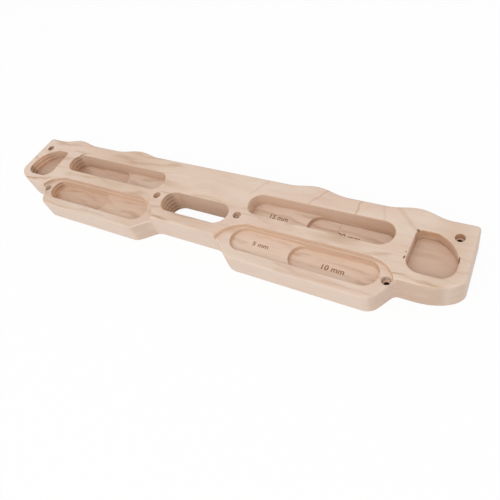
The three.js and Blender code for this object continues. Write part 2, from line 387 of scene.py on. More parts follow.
@dataclass
class Plank:
    """The plank's own outline, and the heights that everything on it is measured from.

    Attributes:
        half_length: Half the board's length.
        half_height: Half the board's height.
        thickness: From the back to the face.
        ply_count: Veneers in the lay-up.
        lobe_face: Height of the lobes' recessed faces.
        edge_radius: Rounding of the board's outer edges, at the face and at the back.
        face_rim: Rounding of the rims in the face.
        lobe_rim: Rounding of the rims in the recessed faces.
        arch_half: Half the flat length of the arch in the bottom edge.
        arch_blend: Run of the blend from the arch to a lobe.
        arch_rise: Rise of the arch over the lobes' bottom edges.
        lobe_end_margin: From a lobe's sharp corner to the board's end.
        lobe_corner_radius: Rounding of that corner.
        lobe_side_angle: The angle at which a lobe's outer side rises.
        tab_rise: Rise of the ends' lowest part over the lobes' bottom edges.
        tab_fillet: Radius between a lobe's side and the end.
        sweep_run: Length of the long curve at the end's bottom.
        sweep_rise: Height of that curve.
        end_lean: How far the end leans in at its top.
        end_corner_radius: Rounding of the end's top corner.
        shoulder_run: Length of the level shoulder at the end's top.
        shoulder_drop: Its drop from the highest crest.
        outer_crest_run: From the shoulder to the outer crest.
        outer_crest_drop: The outer crest's drop from the highest one.
        dip_run: From the outer crest to the dip between the crests.
        dip_drop: The dip's drop from the highest crest.
        dip_start: Where the dip ends towards the middle.
        inner_crest: Where the highest crest is.
        flat_half: Half the length of the level middle of the top edge.
        flat_drop: That middle's drop from the highest crest.
    """

    half_length: float = 275.0
    half_height: float = 51.7
    thickness: float = 30.0
    ply_count: int = 12
    lobe_face: float = 25.0
    edge_radius: float = 2.5
    face_rim: float = 1.5
    lobe_rim: float = 1.0
    arch_half: float = 36.5
    arch_blend: float = 31.5
    arch_rise: float = 17.3
    lobe_end_margin: float = 67.3
    lobe_corner_radius: float = 15.0
    lobe_side_angle: float = math.pi / 3
    tab_rise: float = 22.5
    tab_fillet: float = 6.0
    sweep_run: float = 39.0
    sweep_rise: float = 20.0
    end_lean: float = 2.9
    end_corner_radius: float = 4.0
    shoulder_run: float = 26.0
    shoulder_drop: float = 8.1
    outer_crest_run: float = 30.5
    outer_crest_drop: float = 1.7
    dip_run: float = 28.5
    dip_drop: float = 6.1
    dip_start: float = 152.0
    inner_crest: float = 117.0
    flat_half: float = 88.0
    flat_drop: float = 4.0

    @property
    def ply(self) -> float:
        """One veneer's thickness."""
        return self.thickness / self.ply_count

    def outline(self) -> Outline:
        """Draws the plank's outline, from the middle of the bottom edge round its right end, and mirrors it.

        Returns:
            The whole outline.
        """
        lobe_corner = Vector((self.half_length - self.lobe_end_margin, -self.half_height))
        tab_y = self.tab_rise - self.half_height
        tab_corner = Vector((lobe_corner.x + self.tab_rise / math.tan(self.lobe_side_angle), tab_y))
        sweep = Vector((self.half_length - self.sweep_run, tab_y))
        shoulder = Vector((self.half_length - self.shoulder_run, self.half_height - self.shoulder_drop))
        end_top = Vector((self.half_length - self.end_lean, shoulder.y))
        crest_x = shoulder.x - self.outer_crest_run
        dip_y = self.half_height - self.dip_drop
        pen = Pen(self.arch_half, self.arch_rise - self.half_height)
        pen.wave_to(self.arch_half + self.arch_blend, -self.half_height)
        pen.corner_to(lobe_corner, self.lobe_corner_radius, tab_corner)
        pen.corner_to(tab_corner, self.tab_fillet, sweep)
        centre = sweep + Vector((0, self.sweep_rise))
        pen.ellipse(centre, (self.sweep_run, self.sweep_rise), (-math.pi / 2, 0.0), STEPS.sweep)
        pen.corner_to(end_top, self.end_corner_radius, shoulder)
        pen.line_to(shoulder.x, shoulder.y)
        pen.wave_to(crest_x, self.half_height - self.outer_crest_drop)
        pen.wave_to(crest_x - self.dip_run, dip_y)
        pen.line_to(self.dip_start, dip_y)
        pen.wave_to(self.inner_crest, self.half_height)
        pen.wave_to(self.flat_half, self.half_height - self.flat_drop)
        return pen.points + on_side(pen.points, -1)

    def blank(self, name: str, face: float) -> Solid:
        """Makes the plank up to a face, with its front and back edges rounded.

        Args:
            name: The blank's name.
            face: The face's height.

        Returns:
            The blank.
        """
        rounding = quarter_round(self.outline(), -self.edge_radius)
        back = [(inset, rise) for inset, rise in reversed(rounding)]
        return loft(name, back + [(inset, face - rise) for inset, rise in rounding])


class Feature:
    """Something that is cut into the plank."""

    def cutters(self, plank: Plank) -> list[Solid]:
        """Makes the cutters of the feature in the plank."""
        raise NotImplementedError


@dataclass
class FingerSlot(Feature):
    """One of the four long slots, with a shallow part towards the middle and a deep part outside it.

    Attributes:
        side: 1 on the right, -1 on the left.
        bottom: Its lower wall.
        top: Its upper wall.
        face: The face it is sunk from.
        shallow: Depth of its shallow part.
        deep: Depth of its deep part.
        rim: Radius of its rim.
        inner: Its end towards the middle.
        outer: Its end towards the board's end.
        step: Where the deep part starts.
    """

    side: int
    bottom: float
    top: float
    face: float
    shallow: float
    deep: float
    rim: float
    inner: float = 56.9
    outer: float = 207.1
    step: float = 120.0

    def outline(self, start: float) -> Outline:
        """Returns the outline of the slot from a start to its outer end."""
        return on_side(slot_outline(start, self.outer, self.bottom, self.top), self.side)

    def cutters(self, plank: Plank) -> list[Solid]:
        """Makes the cutters of the shallow and the deep part.

        Args:
            plank: The plank they cut.

        Returns:
            The cutters.
        """
        whole = self.outline(self.inner)
        outer = self.outline(self.step)
        shallow = rimmed_cutter("slot_cutter", whole, self.face - self.shallow, self.face, self.rim)
        return [shallow, prism("deep_cutter", outer, self.face - self.deep, plank.thickness)]


@dataclass
class LobeRecess(Feature):
    """The lowered face of a lobe, which runs out past the board's bottom edge.

    Attributes:
        side: 1 on the right, -1 on the left.
        top: Its upper wall, in line with the lower slot's upper wall.
        inner_centre: Centre of its inner corner, along the board.
        inner_radius: Radius of that corner.
        outer_centre: Centre of its outer corner, along the board.
        outer_radius: Radius of that corner.
    """

    side: int
    top: float = -13.3
    inner_centre: float = 70.45
    inner_radius: float = 29.0
    outer_centre: float = 196.4
    outer_radius: float = 26.0

    def outline(self, plank: Plank) -> Outline:
        """Draws the recess.

        Args:
            plank: The plank it is cut in.

        Returns:
            The outline.
        """
        clear = -plank.half_height - OVERRUN
        pen = Pen(self.inner_centre - self.inner_radius, clear)
        pen.line_to(self.outer_centre + self.outer_radius, clear)
        outer = Vector((self.outer_centre, self.top - self.outer_radius))
        inner = Vector((self.inner_centre, self.top - self.inner_radius))
        pen.ellipse(outer, (self.outer_radius, self.outer_radius), (0.0, math.pi / 2), STEPS.sweep)
        pen.ellipse(inner, (self.inner_radius, self.inner_radius), (math.pi / 2, math.pi), STEPS.sweep)
        return on_side(pen.closed(), self.side)

    def cutters(self, plank: Plank) -> list[Solid]:
        """Makes the cutter, less the lobe whose edge it rounds.

        Args:
            plank: The plank it cuts.

        Returns:
            The cutter.
        """
        floor = plank.lobe_face - plank.edge_radius
        outline = self.outline(plank)
        cutter = rimmed_cutter("recess_cutter", outline, floor, plank.thickness, plank.face_rim)
        kept = plank.blank("kept_lobe", plank.lobe_face)
        return [work(cutter, [kept], Cut.REMOVE)]


@dataclass
class EndPocket(Feature):
    """The rounded pocket at an end, for a thumb or a whole hand's edge.

    Attributes:
        side: 1 on the right, -1 on the left.
        inner: Its side towards the middle.
        outer: Its side towards the board's end.
        bottom: Its lower side.
        top: Its upper side.
        depth: From the face to its floor.
        outer_radius: Rounding of its outer bottom corner.
        inner_radius: Rounding of its inner bottom corner.
        top_radius: Rounding of its inner top corner.
        shoulder_run: Length of the curve that cuts off its outer top corner.
        shoulder_drop: How far below the top that curve's tangents meet.
    """

    side: int
    inner: float = 223.8
    outer: float = 264.4
    bottom: float = -16.8
    top: float = 26.3
    depth: float = 12.5
    outer_radius: float = 12.4
    inner_radius: float = 13.0
    top_radius: float = 5.0
    shoulder_run: float = 22.9
    shoulder_drop: float = 9.1

    def outline(self) -> Outline:
        """Draws the pocket, whose outer top corner is cut off by a long curve.

        Returns:
            The outline.
        """
        inner_bottom = Vector((self.inner, self.bottom))
        outer_bottom = Vector((self.outer, self.bottom))
        inner_top = Vector((self.inner, self.top))
        outer_top = Vector((self.outer, self.top))
        pen = Pen(self.inner + self.inner_radius, self.bottom)
        pen.corner_to(outer_bottom, self.outer_radius, outer_top)
        shoulder = Vector((self.outer, self.top - self.shoulder_drop))
        pen.curve_to(shoulder, Vector((self.outer - self.shoulder_run, self.top)))
        pen.corner_to(inner_top, self.top_radius, inner_bottom)
        pen.corner_to(inner_bottom, self.inner_radius, outer_bottom)
        return on_side(pen.closed(), self.side)

    def cutters(self, plank: Plank) -> list[Solid]:
        """Returns the pocket's cutter."""
        floor = plank.thickness - self.depth
        return [rimmed_cutter("pocket_cutter", self.outline(), floor, plank.thickness, plank.face_rim)]


@dataclass
class ThroughSlot(Feature):
    """The slot in the middle, which goes right through and is well rounded at the back.

    Attributes:
        half_length: Half its length.
        bottom: Its lower side.
        top: Its upper side.
        back_radius: Rounding of its rim at the back.
    """

    half_length: float = 42.0
    bottom: float = -20.7
    top: float = 5.3
    back_radius: float = 4.0

    def cutters(self, plank: Plank) -> list[Solid]:
        """Makes the slot's cutter.

        Args:
            plank: The plank it cuts.

        Returns:
            The cutter.
        """
        outline = slot_outline(-self.half_length, self.half_length, self.bottom, self.top)
        back = rim_levels(outline, 0.0, self.back_radius, -1)
        front = rim_levels(outline, plank.thickness, plank.face_rim, 1)
        return [loft("through_cutter", [*reversed(back), *front])]


@dataclass
class ScrewHole(Feature):
    """A clearance hole with a counterbore for a screw's head.

    Attributes:
        side: 1 on the right, -1 on the left.
        place: Its centre on the right side.
        face: The face it is sunk from.
        hole_radius: Radius of the clearance hole.
        bore_radius: Radius of the counterbore.
        depth: Depth of the counterbore.
        rim: The broken edge round the counterbore.
    """

    side: int
    place: Pair
    face: float
    hole_radius: float = 2.5
    bore_radius: float = 4.25
    depth: float = 6.0
    rim: float = 0.4

    def cutters(self, plank: Plank) -> list[Solid]:
        """Makes the drill and the counterbore.

        Args:
            plank: The plank they cut.

        Returns:
            The cutters.
        """
        centre = Vector((self.side * self.place[0], self.place[1]))
        drill = prism("drill", circle_outline(centre, self.hole_radius), -OVERRUN, self.face)
        bore = circle_outline(centre, self.bore_radius)
        return [drill, rimmed_cutter("counterbore", bore, self.face - self.depth, self.face, self.rim)]


@dataclass
class Nick(Feature):
    """A small torn place in a rim, where a knot broke out under the cutter.

    Attributes:
        place: Its middle.
        reach: Its half sizes.
        turn: How far it is turned in the face, in degrees.
        ripple: How uneven it is, as a share of its sizes.
        waves: How quickly its unevenness comes and goes, in x, y and z.
    """

    place: Vector
    reach: Vector
    turn: float
    ripple: float = 0.12
    waves: tuple[float, float, float] = (5.0, 3.0, 0.0)

    def cutters(self, plank: Plank) -> list[Solid]:
        """Makes the nick's cutter, a small ellipsoid.

        Args:
            plank: The plank it is torn from.

        Returns:
            The cutter.
        """
        shape = bmesh.new()
        bmesh.ops.create_icosphere(shape, subdivisions=3, radius=1.0)
        for vertex in shape.verts:
            vertex.co = vertex.co * (1 + self.ripple * math.sin(vertex.co.dot(Vector(self.waves))))
        turned = Matrix.Rotation(math.radians(self.turn), 3, "Z")
        shape.transform(Matrix.LocRotScale(self.place, turned, self.reach))
        return [solid("nick_cutter", shape)]


Input = Union["Term", Socket, float, Colour]
Inputs = dict[Union[str, int], Input]


def math_operator(operation: str, flipped: bool = False) -> Callable[["Term", Input], "Term"]:
    """Makes an operator that adds a Math node.

    Args:
        operation: The node's operation.
        flipped: Whether the term comes second, as in 1 - mask.

    Returns:
        The operator, as a method of a term.
    """
    def method(term: "Term", other: Input) -> "Term":
        """Adds the node."""
        return term.maths(operation, other, term) if flipped else term.maths(operation, term, other)

    return method


@dataclass(frozen=True)
class Band:
    """A stretch along the board or up it, with soft ends.

    Attributes:
        start: Where it is still 0.
        full: Where it has risen to 1.
        fading: Where it starts to fall.
        end: Where it is 0 again.
    """

    start: float
    full: float
    fading: float
    end: float


class Term:
    """A shader value. Its operators add Math nodes."""

    __add__ = math_operator("ADD")
    __radd__ = math_operator("ADD", flipped=True)
    __sub__ = math_operator("SUBTRACT")
    __rsub__ = math_operator("SUBTRACT", flipped=True)
    __mul__ = math_operator("MULTIPLY")
    __rmul__ = math_operator("MULTIPLY", flipped=True)
    __truediv__ = math_operator("DIVIDE")
    __pow__ = math_operator("POWER")
    larger = math_operator("MAXIMUM")

    def __init__(self, shader: "Shader", socket: Socket) -> None:
        """Wraps a socket of a shader."""
        self.shader = shader
        self.socket = socket

    def maths(self, operation: str, *values: Input) -> "Term":
        """Adds a Math node and returns its result."""
        node = self.shader.node("ShaderNodeMath", {"operation": operation}, dict(enumerate(values)))
        return Term(self.shader, node.outputs[0])

    def __abs__(self) -> "Term":
        """Takes the size without the sign."""
        return self.maths("ABSOLUTE", self)

    def sine(self) -> "Term":
        """Takes the sine."""
        return self.maths("SINE", self)

    def rise(self, low: float, high: float) -> "Term":
        """Rises smoothly from 0 at one value to 1 at another.

        Args:
            low: Where it is 0.
            high: Where it is 1. It falls instead where this is the smaller one.

        Returns:
            The share, from 0 to 1.
        """
        if low > high:
            return 1 - self.rise(high, low)
        inputs = {"Value": self, "From Min": low, "From Max": high}
        node = self.shader.node("ShaderNodeMapRange", {"interpolation_type": "SMOOTHSTEP"}, inputs)
        return Term(self.shader, node.outputs["Result"])

    def near(self, middle: float, reach: float) -> "Term":
        """Is 1 at the middle and falls smoothly to 0 at a distance."""
        return abs(self - middle).rise(reach, 0.0)

    def within(self, band: Band) -> "Term":
        """Is 1 inside a stretch and 0 outside it."""
        return self.rise(band.start, band.full) * self.rise(band.end, band.fading)


class Shader:
    """The nodes of a material or of the world, added by expressions."""

    def __init__(self, owner: Union[bpy.types.Material, bpy.types.World]) -> None:
        """Starts with no nodes.

        Args:
            owner: The material or the world that the nodes belong to.
        """
        owner.use_nodes = True
        self.owner = owner
        self.tree = owner.node_tree
        self.tree.nodes.clear()

    def node(self, kind: str, settings: dict[str, object], inputs: Inputs) -> bpy.types.Node:
        """Adds a node.

        Args:
            kind: The node's type.
            settings: Its settings, set before its sockets.
            inputs: The values or links of its sockets.

        Returns:
            The node.
        """
        node = self.tree.nodes.new(kind)
        for name, setting in settings.items():
            setattr(node, name, setting)
        for name, value in inputs.items():
            self.feed(node.inputs[name], value)
        return node

    def feed(self, socket: Socket, value: Input) -> None:
        """Links or sets a socket.

        Args:
            socket: The socket.
            value: What it gets.
        """
        if isinstance(value, Term):
            self.tree.links.new(value.socket, socket)
        elif isinstance(value, Socket):
            self.tree.links.new(value, socket)
        elif socket.type == "RGBA" and isinstance(value, tuple):
            socket.default_value = (*value, 1.0)
        else:
            socket.default_value = value

    def parts(self, name: str) -> list[Term]:
        """Gives the three parts of one of a piece's own coordinates."""
        source = {"Vector": self.node("ShaderNodeTexCoord", {}, {}).outputs[name]}
        return [Term(self, part) for part in self.node("ShaderNodeSeparateXYZ", {}, source).outputs]

    def point(self, x: Input, y: Input, z: Input) -> Socket:
        """Joins three values to a vector."""
        return self.node("ShaderNodeCombineXYZ", {}, {"X": x, "Y": y, "Z": z}).outputs[0]

    def mix(self, factor: Input, first: Input, second: Input, how: str = "MIX") -> Socket:
        """Mixes two colours by the second one's share, in the mix node's blend type."""
        settings = {"data_type": "RGBA", "blend_type": how, "clamp_factor": True}
        return self.node("ShaderNodeMix", settings, {"Factor": factor, 6: first, 7: second}).outputs[2]

    def dimmed(self, colour: Input, factor: Term) -> Socket:
        """Multiplies a colour by a value."""
        return self.mix(1.0, colour, self.point(factor, factor, factor), "MULTIPLY")

    def surface(self, inputs: Inputs) -> bpy.types.Material:
        """Ends the material with a principled surface.

        Args:
            inputs: The surface's sockets.

        Returns:
            The material.
        """
        surface = self.node("ShaderNodeBsdfPrincipled", {}, inputs)
        self.node("ShaderNodeOutputMaterial", {}, {"Surface": surface.outputs[0]})
        return self.owner


@dataclass(frozen=True)
class Spot:
    """A place on a piece that is being coloured, and how its surface faces there.

    Attributes:
        shader: The material's shader.
        x: The place along the board, in millimetres.
        y: The place up the board.
        z: The place out of the wall.
        faces: How far the surface faces along each axis, as the squares of its normal's parts.
    """

    shader: Shader
    x: Term
    y: Term
    z: Term
    faces: tuple[Term, ...]

    @classmethod
    def of(cls, shader: Shader) -> "Spot":
        """Reads the spot from the piece's own coordinates."""
        x, y, z = (part / MILLIMETRE for part in shader.parts("Object"))
        return cls(shader, x, y, z, tuple(part * part for part in shader.parts("Normal")))


@dataclass(frozen=True)
class Pattern:
    """A noise in the wood's figure.

    Attributes:
        reach: How far its blotches reach in x, y and z. With 0 for z it is the same at any depth.
        shift: What sets it apart from a sheet's other patterns.
        detail: How many finer layers it has.
        roughness: How strong those are.
    """

    reach: tuple[float, float, float]
    shift: float = 0.0
    detail: float = 2.0
    roughness: float = 0.5

    def read(self, at: Spot, seed: float = 0.0) -> Term:
        """Adds the noise.

        Args:
            at: Where it is read.
            seed: What sets the sheet apart from the others.

        Returns:
            The noise, about 0.5 on average.
        """
        shift = self.shift + seed
        depth = at.z / self.reach[2] + shift if self.reach[2] else shift
        point = at.shader.point(at.x / self.reach[0], at.y / self.reach[1], depth)
        inputs = {"Vector": point, "Scale": 1.0, "Detail": self.detail, "Roughness": self.roughness}
        node = at.shader.node("ShaderNodeTexNoise", {"noise_dimensions": "3D"}, inputs)
        return Term(at.shader, node.outputs["Fac"])


DRIFT = Pattern((95.0, 34.0, 0.0), roughness=0.55)
TINT = Pattern((60.0, 18.0, 0.0), 7.3, 3.0)
WARP = Pattern((62.0, 20.0, 0.0), 1.7, 3.0)
BLOTCH = Pattern((45.0, 10.0, 0.0), 4.1, roughness=0.6)
HAIR = Pattern((34.0, 1.2, 0.0), 9.9, roughness=0.6)
FIBRES = Pattern((9.0, 0.5, 0.6), 0.0, 4.0, 0.65)
WOBBLE = Pattern((11.0, 7.0, 0.0), 2.2)
PORES = Pattern((0.625, 0.625, 1.1111), 0.0, 3.0, 0.7)
UNEVEN = Pattern((4.0, 4.0, 0.0))
RAGGED = Pattern((1.3, 1.3, 1.3))
MOTTLE = Pattern((22.0, 22.0, 9.0), 0.0, 3.0, 0.55)
STREAK = Pattern((42.0, 42.0, 1.7), roughness=0.55)
SCORCH = Pattern((1.6, 0.8, 1.0), 0.0, 3.0, 0.6)
SCORCH_STREAK = Pattern((6.0, 0.3, 1.0), roughness=0.6)


@dataclass(frozen=True)
class TimberFinish:
    """Bare sanded veneer: its colours, and how strongly its traits show.

    Attributes:
        pale: The lighter ground colour.
        rosy: The pinker ground colour.
        honey: The yellower ground colour.
        tan: The colour of the tanner patches, also painted as shade on the lobes' land.
        late: The growth lines.
        side: The ground colour of the sanded outer sides.
        tab: The darker colour of the sanded sides under the right end, also painted as shade on the slanted
            outer sides.
        wall: The ground colour of the milled walls inside the slots.
        wall_top: The same near the face, with painted light.
        wall_shaded: The same with painted shade, at the outer ends of the right side's top walls.
        wall_painted_light: The same with painted light, at the inner end of the upper right slot.
        end_dark: End grain, where it is darkest.
        end_light: End grain, where it is lightest.
        end_line: The pale line in the middle of a cross sheet's edge.
        glue: The glue lines in the walls.
        knot: The heart of a knot or a torn place.
        shaft_shade: Painted shade in the shafts of the screw holes.
        roughness: Roughness of the sanded face.
        specular: How much it mirrors.
        fibre_roughness: How much the fibres change the roughness.
        end_roughness: How much rougher end grain is.
        fibre_shade: How much the fibres change the colour.
        warm_loss: How much green and how much blue a warm place loses.
        shaft_shade_share: How strongly the painted shade in the screw holes shows.
        bump: How strong the relief is.
        bump_height: Its height, in metres.
        relief: What fibres, fibres in end grain, glue lines and growth lines add to it.
    """

    pale: Colour = srgb(232, 209, 191)
    rosy: Colour = srgb(227, 199, 180)
    honey: Colour = srgb(225, 200, 176)
    tan: Colour = srgb(208, 178, 152)
    late: Colour = srgb(188, 150, 118)
    side: Colour = srgb(226, 205, 189)
    tab: Colour = srgb(208, 182, 162)
    wall: Colour = srgb(224, 194, 169)
    wall_top: Colour = srgb(224, 197, 175)
    # painted shade for the top walls
    wall_shaded: Colour = srgb(196, 152, 118)
    # painted light for one end wall
    wall_painted_light: Colour = srgb(245, 225, 201)
    end_dark: Colour = srgb(188, 145, 118)
    end_light: Colour = srgb(216, 181, 154)
    end_line: Colour = srgb(250, 224, 200)
    glue: Colour = srgb(122, 84, 62)
    knot: Colour = srgb(116, 76, 52)
    # painted shade for the shafts of the screw holes
    shaft_shade: Colour = srgb(70, 42, 28)
    roughness: float = 0.58
    specular: float = 0.3
    fibre_roughness: float = 0.12
    end_roughness: float = 0.14
    fibre_shade: float = 0.13
    warm_loss: Pair = (0.1, 0.17)
    shaft_shade_share: float = 0.9
    bump: float = 0.22
    bump_height: float = 0.0003
    relief: tuple[float, float, float, float] = (0.35, 0.9, -0.8, 0.25)


TIMBER = TimberFinish()


@dataclass(frozen=True)
class Patch:
    """A broad place in a sheet that differs from the rest, such as a tanner or a calmer one.

    Attributes:
        place: Its middle, along the board and up it.
        reach: Its half sizes.
        share: How much it differs.
    """

    place: Pair
    reach: Pair
    share: float

    def at(self, spot: Spot) -> Term:
        """Gives its share at a spot."""
        across = spot.x.near(self.place[0], self.reach[0])
        return across * spot.y.near(self.place[1], self.reach[1]) * self.share


@dataclass(frozen=True)
class ShadedLand:
    """The narrow land of the lobes' sheet above each lower slot, darkened with the tan colour as painted
    shade.

    Attributes:
        middle: How far up the board it is.
        reach: Half its width.
        length: Where it runs along each half of the board.
    """

    middle: float = -12.4
    reach: float = 1.9
    length: Band = Band(58.0, 66.0, 198.0, 207.0)

    def at(self, spot: Spot) -> Term:
        """Gives the painted shade's share at a spot."""
        return spot.y.near(self.middle, self.reach) * abs(spot.x).within(self.length)


@dataclass(frozen=True)
class SteepLine:
    """A dark growth line that crosses the top margin.

    Attributes:
        foot: Where it is along the board, at the margin's middle.
        lean: How far it moves along the board for each millimetre up it.
        width: Its half width.
        strength: How dark it is.
    """

    foot: float
    lean: float
    width: float
    strength: float


@dataclass(frozen=True)
class KnotSpot:
    """A small knot or dark speck in a face.

    Attributes:
        place: Its middle, as x, y and z.
        reach: Its half sizes along the board and up it.
        strength: How dark it is.
        lean: How far it rises for each millimetre along the board.
        depth: How deep it goes.
    """

    place: tuple[float, float, float]
    reach: Pair
    strength: float
    lean: float = 0.0
    depth: float = 2.5

    def at(self, spot: Spot, ragged: Term) -> Term:
        """Gives its share at a spot.

        Args:
            spot: The spot.
            ragged: How uneven its edge is there.

        Returns:
            The share, from 0 to 1.
        """
        left = (spot.x - self.place[0]) / self.reach[0]
        up = (spot.y - self.place[1]) / self.reach[1] - left * (self.lean * self.reach[0] / self.reach[1])
        deep = (spot.z - self.place[2]) / self.depth
        return (left * left + up * up + deep * deep + ragged).rise(1.5, 0.5) * self.strength


STEEP_LINES = (
    SteepLine(58.6, 0.55, 2.2, 0.26),
    SteepLine(121.8, 0.6, 2.4, 0.36),
    SteepLine(166.0, 0.05, 2.0, 0.5),
    SteepLine(190.8, -0.38, 2.0, 0.2),
    SteepLine(211.8, -1.05, 4.5, 0.26),
)

FACE_TAN = (
    Patch((-125.0, 15.0), (90.0, 65.0), 0.65),
    Patch((254.0, 10.0), (28.0, 75.0), 0.58),
    Patch((0.0, -26.0), (60.0, 9.0), 0.5),
    Patch((158.0, -5.0), (42.0, 7.0), 0.8),
)

FACE_CALM = (
    Patch((100.0, -5.0), (36.0, 9.0), 0.7),
    Patch((-120.0, -4.0), (36.0, 9.0), 0.55),
    Patch((-262.0, -8.0), (22.0, 12.0), 0.6),
)

LOBE_CALM = (Patch((88.0, -46.0), (44.0, 6.0), 0.75),)

KNOT_SPOTS = (
    KnotSpot((224.4, 25.1, 29.6), (1.6, 1.5), 0.8),
    KnotSpot((222.0, -5.4, 29.4), (0.8, 1.9), 0.85),
    KnotSpot((221.6, 0.3, 29.8), (0.7, 0.9), 0.75),
    KnotSpot((263.8, 4.0, 29.0), (0.7, 4.2), 0.85),
    KnotSpot((-198.4, 27.6, 29.6), (4.2, 0.8), 0.95, 0.55),
    KnotSpot((78.0, -1.9, 30.0), (0.6, 0.5), 0.6),
)

END_HOLE = (258.8, 26.8)
INNER_HOLE = (52.6, -4.9)
LOBE_HOLE = (214.6, -29.6)


@dataclass(frozen=True)
class Tone:
    """How light and how warm a sheet's bared face is, from place to place.

    Attributes:
        left: Its lightness in the board's left half.
        right: Its lightness in the right half.
        low: How much of it stays in the lower slots.
        warm_left: Its warmth in the left half.
        warm_right: Its warmth in the right half.
        warm_high: How much of the warmth stays above the lower slots.
        foot_shade: How much darker the upper right slot's floors are at the foot of their top wall.
        foot_length: Where those floors are along the board.
    """

    left: float = 1.0
    right: float = 1.0
    low: float = 1.0
    warm_left: float = 0.0
    warm_right: float = 0.0
    warm_high: float = 1.0
    foot_shade: float = 0.12
    foot_length: Band = Band(40.0, 60.0, 210.0, 216.0)

    def tint(self, at: Spot) -> Socket:
        """Gives the factors on red, green and blue.

        Args:
            at: Where they are read.

        Returns:
            The factors, as a vector.
        """
        rightwards = at.x.rise(-60.0, 60.0)
        upwards = at.y.rise(-14.0, 0.0)
        floor_foot = at.x.within(self.foot_length) * at.y.rise(9.0, 27.0) * at.z.rise(28.0, 26.0)
        light = rightwards * (self.right - self.left) + self.left
        light = light * (upwards * (1 - self.low) + self.low) * (1 - floor_foot * self.foot_shade)
        warmth = rightwards * (self.warm_right - self.warm_left) + self.warm_left
        warmth = warmth * ((1 - upwards) * (1 - self.warm_high) + self.warm_high)
        green, blue = (light * (1 - warmth * loss) for loss in TIMBER.warm_loss)
        return at.shader.point(light, green, blue)


@dataclass(frozen=True)
class WallFinish:
    """The milled walls inside the outline, and the board's sanded outer sides.

    Attributes:
        slant_shade_share: How far painted shade turns the slanted outer sides to the colour of the sides
            under the right end.
        tail_shade_share: How much painted shade darkens the upper right slot's top wall at its outer end.
        pocket_shade_share: How much painted shade darkens the right pocket's top wall.
        mottle_share: How much the rosy mottle shows.
        streak_share: How much the streaks show.
        foot_drop: How much darker the top walls are at their feet.
        slot_drop: How much more that is in the slots away from the middle.
        pocket_drop: How much more it is in the pockets.
        tab_length: Where the sides under the right end are along the board.
        lit_length: Where the painted light at the inner end of the upper right slot is along the board.
        lit_height: Where it is up the board.
    """

    slant_shade_share: float = 0.62
    tail_shade_share: float = 0.38
    pocket_shade_share: float = 0.42
    mottle_share: float = 0.5
    streak_share: float = 0.3
    foot_drop: float = 0.11
    slot_drop: float = 0.12
    pocket_drop: float = 0.2
    tab_length: Band = Band(212.0, 224.0, 256.0, 268.0)
    lit_length: Band = Band(50.0, 54.0, 66.0, 80.0)
    lit_height: Band = Band(-2.0, 0.0, 10.0, 22.0)

    def inside(self, at: Spot) -> Term:
        """Tells the walls of the slots, pockets and recesses from the board's outer sides.

        Args:
            at: Where it is read.

        Returns:
            1 where a wall is inside the outline, 0 on the outer sides.
        """
        apart = abs(at.x)
        middle = apart.rise(268.5, 266.5) * at.y.rise(-20.0, -18.0)
        through = apart.rise(49.0, 47.0) * at.y.rise(-26.0, -24.0)
        lobe = apart.within(Band(53.0, 55.0, 208.5, 210.0)) * at.y.rise(-44.0, -42.5)
        recess = apart.within(Band(40.0, 42.5, 222.0, 223.4)) * at.z.rise(24.6, 25.2)
        return middle.larger(through).larger(lobe).larger(recess) * at.y.rise(39.0, 37.0)

    def shade(self, at: Spot) -> Term:
        """Darkens the top walls of the slots and pockets towards their feet.

        Args:
            at: Where it is read.

        Returns:
            The factor on their colour.
        """
        apart = abs(at.x)
        share = apart.rise(46.0, 52.0) * self.slot_drop + self.foot_drop
        pocket = apart.rise(218.0, 222.0) * at.z.rise(30.0, 16.0) * self.pocket_drop
        return 1 - (at.z.rise(24.0, 8.0) * share + pocket) * at.y.rise(-9.0, 0.0)

    def colour(self, at: Spot, inside: Term) -> Socket:
        """Lays the colour of the walls, with painted light and shade, and with long streaks that run on from
        sheet to sheet.

        Args:
            at: Where it is read.
            inside: 1 on the walls inside the outline.

        Returns:
            The walls' colour.
        """
        mix = at.shader.mix
        # painted shade: outer sides that face slantwise are darkened to the colour of the sides under the
        # right end
        slanted = (at.faces[0] * at.faces[1]).rise(0.08, 0.22) * self.slant_shade_share
        outer = mix(at.x.within(self.tab_length).larger(slanted), TIMBER.side, TIMBER.tab)
        # painted light and shade: the upper slots' walls are lighter near the face and darker deeper in
        near_face = at.z.rise(12.0, 28.0) * at.y.rise(-12.0, -9.0) * abs(at.x).rise(220.0, 214.0)
        inner = mix(near_face, TIMBER.wall, TIMBER.wall_top)
        # painted shade: the right pocket's top wall and the outer ends of the right side's top walls turn
        # darker
        pocket = at.x.rise(216.0, 222.0) * at.faces[1].rise(0.6, 0.9) * self.pocket_shade_share
        deep = (at.x.rise(150.0, 206.0) * self.tail_shade_share + pocket) * at.y.rise(14.0, 20.0)
        inner = mix(deep, inner, TIMBER.wall_shaded)
        # painted light: the end wall at the inner end of the upper right slot is lightened
        lit_end = at.x.within(self.lit_length) * at.y.within(self.lit_height)
        inner = mix(lit_end * at.faces[0].rise(0.2, 0.7), inner, TIMBER.wall_painted_light)
        colour = mix(inside, outer, at.shader.dimmed(inner, self.shade(at)))
        colour = mix(MOTTLE.read(at).rise(0.45, 0.75) * self.mottle_share, colour, TIMBER.rosy)
        return mix(STREAK.read(at).rise(0.52, 0.78) * self.streak_share, colour, TIMBER.late)


